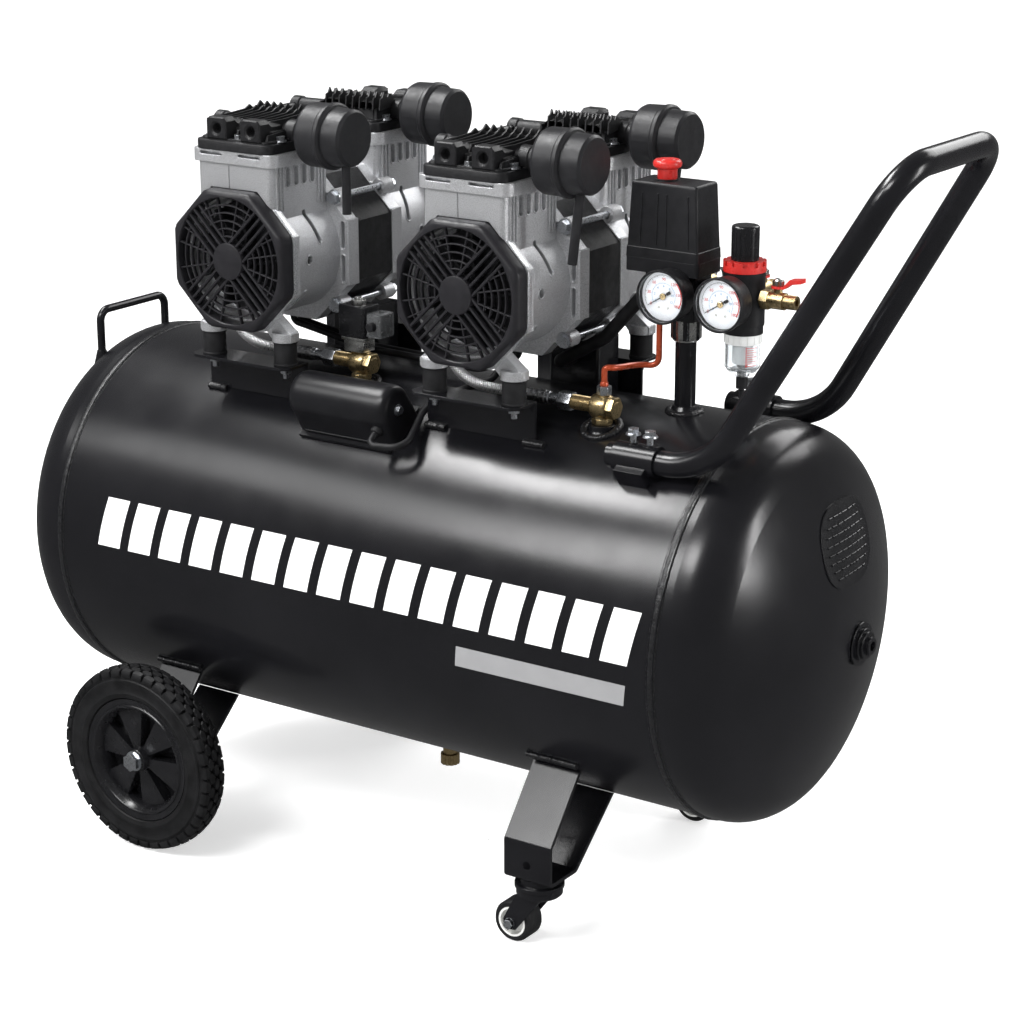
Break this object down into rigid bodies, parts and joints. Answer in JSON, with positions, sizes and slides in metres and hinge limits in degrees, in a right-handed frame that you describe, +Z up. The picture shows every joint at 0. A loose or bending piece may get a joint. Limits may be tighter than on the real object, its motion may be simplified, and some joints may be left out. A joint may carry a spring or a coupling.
{
  "type": "air compressor",
  "caption": "Oil-free air compressor: pumps with cylinder heads and fans on a horizontal tank with wheels, swivel casters, bent pull handle, gauges and regulator.",
  "frame": {"origin": "middle of the machine on the floor, centre of the overall box in X and Y", "axes": "+Z up; +X along the tank towards the pull handle; the fan covers and gauges that face the viewer look along -Y"},
  "size_m": [1, 0.4638, 0.778],
  "materials": {
    "tank_shell": "gloss enamel",
    "tank_ends": "gloss enamel",
    "tank_fittings": "gloss enamel",
    "drain_valve": "machined",
    "drain_tap": "knurled",
    "axle_brackets": "gloss enamel",
    "pump_brackets": "gloss enamel",
    "handle_sockets": "gloss enamel",
    "flange_bolts": "zinc plated",
    "pull_handle": "gloss enamel",
    "grab_handle": "gloss enamel",
    "wheel_axles": "zinc plated",
    "caster_plates": "satin black",
    "crankcases": "sand cast",
    "cylinder_heads": "satin black",
    "pump_bolts": "zinc plated",
    "motor_stators": "satin black",
    "fan_covers": "moulded",
    "air_filters": "moulded",
    "rubber_feet": "matt",
    "manifold_block": "satin black",
    "switch_base": "moulded",
    "switch_cover": "moulded",
    "switch_knob": "moulded",
    "gauge_cases": "satin black",
    "gauge_needle_1": "matt",
    "gauge_needle_2": "matt",
    "regulator_body": "moulded",
    "regulator_ring": "moulded",
    "regulator_knob": "moulded",
    "filter_bowl": "clear plastic",
    "bowl_drain": "moulded",
    "outlet_valves": "machined",
    "valve_lever_1": "dipped",
    "valve_lever_2": "dipped",
    "safety_valve": "machined",
    "safety_ring": "bright",
    "check_valves": "machined",
    "braided_hoses": "braided",
    "air_tubes": "lacquered copper",
    "solenoid_valve": "moulded",
    "capacitor_covers": "moulded",
    "capacitors": "moulded",
    "control_cables": "matt",
    "wheel_rim_front": "moulded",
    "wheel_rim_rear": "moulded",
    "wheel_tyre_front": "matt",
    "wheel_tyre_rear": "matt",
    "caster_fork_front": "satin black",
    "caster_fork_rear": "satin black",
    "caster_core_front": "moulded",
    "caster_core_rear": "moulded",
    "caster_tyre_front": "matt",
    "caster_tyre_rear": "matt",
    "pump_1_shaft": "ground",
    "pump_2_shaft": "ground",
    "pump_1_fans": "moulded",
    "pump_2_fans": "moulded",
    "pump_1_pistons": "machined",
    "pump_2_pistons": "machined"
  },
  "bodies": {
    "tank": {"tank_shell": "tank_shell", "tank_ends": "tank_ends", "tank_fittings": "tank_fittings", "drain_valve": "drain_valve", "axle_brackets": "axle_brackets", "pump_brackets": "pump_brackets", "handle_sockets": "handle_sockets", "flange_bolts": "flange_bolts", "pull_handle": "pull_handle", "grab_handle": "grab_handle", "wheel_axles": "wheel_axles", "caster_plates": "caster_plates", "crankcases": "crankcases", "cylinder_heads": "cylinder_heads", "pump_bolts": "pump_bolts", "motor_stators": "motor_stators", "fan_covers": "fan_covers", "air_filters": "air_filters", "rubber_feet": "rubber_feet", "manifold_block": "manifold_block", "switch_base": "switch_base", "switch_cover": "switch_cover", "gauge_cases": "gauge_cases", "regulator_body": "regulator_body", "regulator_ring": "regulator_ring", "filter_bowl": "filter_bowl", "outlet_valves": "outlet_valves", "safety_valve": "safety_valve", "check_valves": "check_valves", "braided_hoses": "braided_hoses", "air_tubes": "air_tubes", "solenoid_valve": "solenoid_valve", "capacitor_covers": "capacitor_covers", "capacitors": "capacitors", "control_cables": "control_cables"},
    "wheel_front": {"wheel_rim_front": "wheel_rim_front", "wheel_tyre_front": "wheel_tyre_front"},
    "wheel_rear": {"wheel_rim_rear": "wheel_rim_rear", "wheel_tyre_rear": "wheel_tyre_rear"},
    "swivel_front": {"caster_fork_front": "caster_fork_front"},
    "swivel_rear": {"caster_fork_rear": "caster_fork_rear"},
    "caster_front": {"caster_core_front": "caster_core_front", "caster_tyre_front": "caster_tyre_front"},
    "caster_rear": {"caster_core_rear": "caster_core_rear", "caster_tyre_rear": "caster_tyre_rear"},
    "rotor_1": {"pump_1_shaft": "pump_1_shaft", "pump_1_fans": "pump_1_fans"},
    "rotor_2": {"pump_2_shaft": "pump_2_shaft", "pump_2_fans": "pump_2_fans"},
    "pistons_1": {"pump_1_pistons": "pump_1_pistons"},
    "pistons_2": {"pump_2_pistons": "pump_2_pistons"},
    "switch_knob": {"switch_knob": "switch_knob"},
    "regulator_knob": {"regulator_knob": "regulator_knob"},
    "lever_1": {"valve_lever_1": "valve_lever_1"},
    "lever_2": {"valve_lever_2": "valve_lever_2"},
    "needle_1": {"gauge_needle_1": "gauge_needle_1"},
    "needle_2": {"gauge_needle_2": "gauge_needle_2"},
    "drain_tap": {"drain_tap": "drain_tap"},
    "bowl_drain": {"bowl_drain": "bowl_drain"},
    "safety_ring": {"safety_ring": "safety_ring"}
  },
  "joints": [
    {"name": "wheel_spin_front", "type": "hinge", "parent": "tank", "child": "wheel_front", "pos_m": [-0.2862, -0.2095, 0.099], "axis": [0, 1, 0], "continuous": true},
    {"name": "caster_swivel_front", "type": "hinge", "parent": "tank", "child": "swivel_front", "pos_m": [0.1768, -0.17, 0.055], "axis": [0, 0, 1], "continuous": true},
    {"name": "caster_spin_front", "type": "hinge", "parent": "swivel_front", "child": "caster_front", "pos_m": [0.1528, -0.17, 0.0207], "axis": [0, 1, 0], "continuous": true},
    {"name": "wheel_spin_rear", "type": "hinge", "parent": "tank", "child": "wheel_rear", "pos_m": [-0.2862, 0.2095, 0.099], "axis": [0, 1, 0], "continuous": true},
    {"name": "caster_swivel_rear", "type": "hinge", "parent": "tank", "child": "swivel_rear", "pos_m": [0.1768, 0.17, 0.055], "axis": [0, 0, 1], "continuous": true},
    {"name": "caster_spin_rear", "type": "hinge", "parent": "swivel_rear", "child": "caster_rear", "pos_m": [0.1528, 0.17, 0.0207], "axis": [0, 1, 0], "continuous": true},
    {"name": "rotor_spin_1", "type": "hinge", "parent": "tank", "child": "rotor_1", "pos_m": [-0.2086, 0, 0.6151], "axis": [0, 1, 0], "continuous": true},
    {"name": "piston_stroke_1", "type": "slide", "parent": "tank", "child": "pistons_1", "axis": [0, 0, 1], "range_m": [-0.008, 0.008]},
    {"name": "rotor_spin_2", "type": "hinge", "parent": "tank", "child": "rotor_2", "pos_m": [0.0637, 0, 0.6151], "axis": [0, 1, 0], "continuous": true},
    {"name": "piston_stroke_2", "type": "slide", "parent": "tank", "child": "pistons_2", "axis": [0, 0, 1], "range_m": [-0.008, 0.008]},
    {"name": "switch_press", "type": "slide", "parent": "tank", "child": "switch_knob", "axis": [0, 0, 1], "range_m": [-0.008, 0]},
    {"name": "regulator_turn", "type": "hinge", "parent": "tank", "child": "regulator_knob", "pos_m": [0.2873, 0, 0.66], "axis": [0, 0, 1], "range_deg": [-720, 720]},
    {"name": "lever_turn_1", "type": "hinge", "parent": "tank", "child": "lever_1", "pos_m": [0.3226, 0, 0.616], "axis": [0, 0, 1], "range_deg": [0, 90]},
    {"name": "lever_turn_2", "type": "hinge", "parent": "tank", "child": "lever_2", "pos_m": [0.2873, 0.0353, 0.616], "axis": [0, 0, 1], "range_deg": [-90, 0]},
    {"name": "needle_sweep_1", "type": "hinge", "parent": "tank", "child": "needle_1", "pos_m": [0.2268, -0.045, 0.616], "axis": [0, 1, 0], "range_deg": [-100, 100]},
    {"name": "needle_sweep_2", "type": "hinge", "parent": "tank", "child": "needle_2", "pos_m": [0.2873, -0.045, 0.616], "axis": [0, 1, 0], "range_deg": [-100, 100]},
    {"name": "drain_turn", "type": "hinge", "parent": "tank", "child": "drain_tap", "pos_m": [-0.0482, 0, 0.081], "axis": [0, 0, 1], "range_deg": [-360, 360]},
    {"name": "bowl_drain_turn", "type": "hinge", "parent": "tank", "child": "bowl_drain", "pos_m": [0.2873, 0, 0.535], "axis": [0, 0, 1], "range_deg": [-90, 90]},
    {"name": "safety_pull", "type": "slide", "parent": "tank", "child": "safety_ring", "axis": [0, 1, 0], "range_m": [0, 0.003]}
  ]
}
